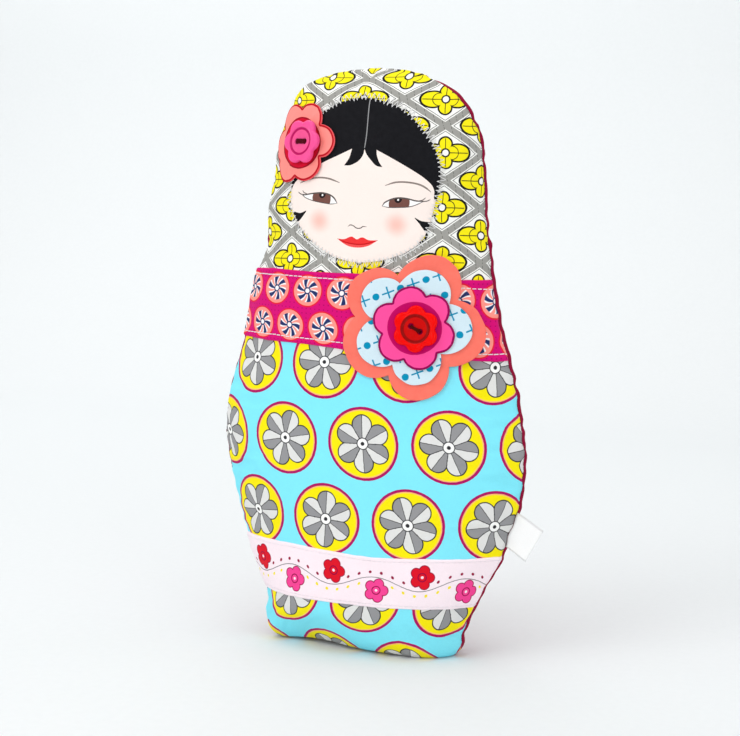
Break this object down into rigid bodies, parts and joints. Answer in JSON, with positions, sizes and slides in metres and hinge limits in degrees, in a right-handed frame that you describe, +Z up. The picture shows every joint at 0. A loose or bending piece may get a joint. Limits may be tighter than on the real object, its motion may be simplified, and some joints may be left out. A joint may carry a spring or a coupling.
{
  "type": "rag doll",
  "caption": "Flat stuffed cloth doll with a nesting-doll outline, an oval stitched face, a sash, a ribbon band, layered flower appliques with flower buttons, and a side label loop.",
  "frame": {"origin": "middle of the flat base, on the surface that the doll stands on", "axes": "+Z up from the base to the crown, +X to the right of someone facing the doll, the front faces -Y"},
  "size_m": [0.1711, 0.0615, 0.2999],
  "materials": {
    "stuffing": "loose polyester fibre",
    "head_print": "printed cotton, white and grey with yellow",
    "body_print": "printed cotton, aqua with yellow discs",
    "back_cloth": "plain woven cotton",
    "sash_print": "printed cotton, magenta with coral dots",
    "ribbon": "printed cotton ribbon, pale pink",
    "face_print": "printed cotton, skin and black hair",
    "white_thread": "sewing thread",
    "ribbon_thread": "sewing thread",
    "hair_flower_cloth": "printed cotton, coral with crimson lines",
    "coral_cloth": "plain cotton, raw edge",
    "blue_print": "printed cotton, pale blue with teal",
    "pink_cloth": "printed cotton, pink with magenta lines",
    "seam_thread": "sewing thread",
    "label_tape": "white woven tape",
    "pink_plastic": "moulded, glossy",
    "red_plastic": "moulded, glossy",
    "dark_thread": "sewing thread",
    "red_thread": "sewing thread"
  },
  "bodies": {
    "doll": {"stuffing_core": "stuffing", "head_panel": "head_print", "body_panel": "body_print", "back_panel": "back_cloth", "sash_band": "sash_print", "hem_band": "ribbon", "face_applique": "face_print", "face_zigzag_stitch": "white_thread", "sash_stitch_upper": "white_thread", "sash_stitch_lower": "white_thread", "hem_stitch_upper": "ribbon_thread", "hem_stitch_lower": "ribbon_thread", "hair_flower": "hair_flower_cloth", "hair_button_thread": "dark_thread", "chest_flower_outer": "coral_cloth", "chest_flower_middle": "blue_print", "chest_flower_inner": "pink_cloth", "chest_button_thread": "red_thread", "side_seam_thread": "seam_thread", "closing_stitch": "seam_thread", "yoke_seam_thread": "white_thread"},
    "hair_button": {"hair_button": "pink_plastic"},
    "chest_button": {"chest_button": "red_plastic"},
    "label": {"label_loop": "label_tape"}
  },
  "joints": [
    {"name": "label_flap", "type": "hinge", "parent": "doll", "child": "label", "pos_m": [0.0743, -0.0027, 0.068], "axis": [0.2785, 0, 0.9604], "range_deg": [-65, 65], "stiffness_Nm_per_rad": 0.0003},
    {"name": "chest_button_swivel", "type": "hinge", "parent": "doll", "child": "chest_button", "pos_m": [0.03166, -0.02815, 0.16963], "axis": [0.1822, -0.9808, 0.0698], "range_deg": [-15, 15], "stiffness_Nm_per_rad": 0.0005},
    {"name": "hair_button_swivel", "type": "hinge", "parent": "doll", "child": "hair_button", "pos_m": [-0.03256, -0.02108, 0.2614], "axis": [-0.3672, -0.9221, 0.1221], "range_deg": [-15, 15], "stiffness_Nm_per_rad": 0.0005}
  ]
}
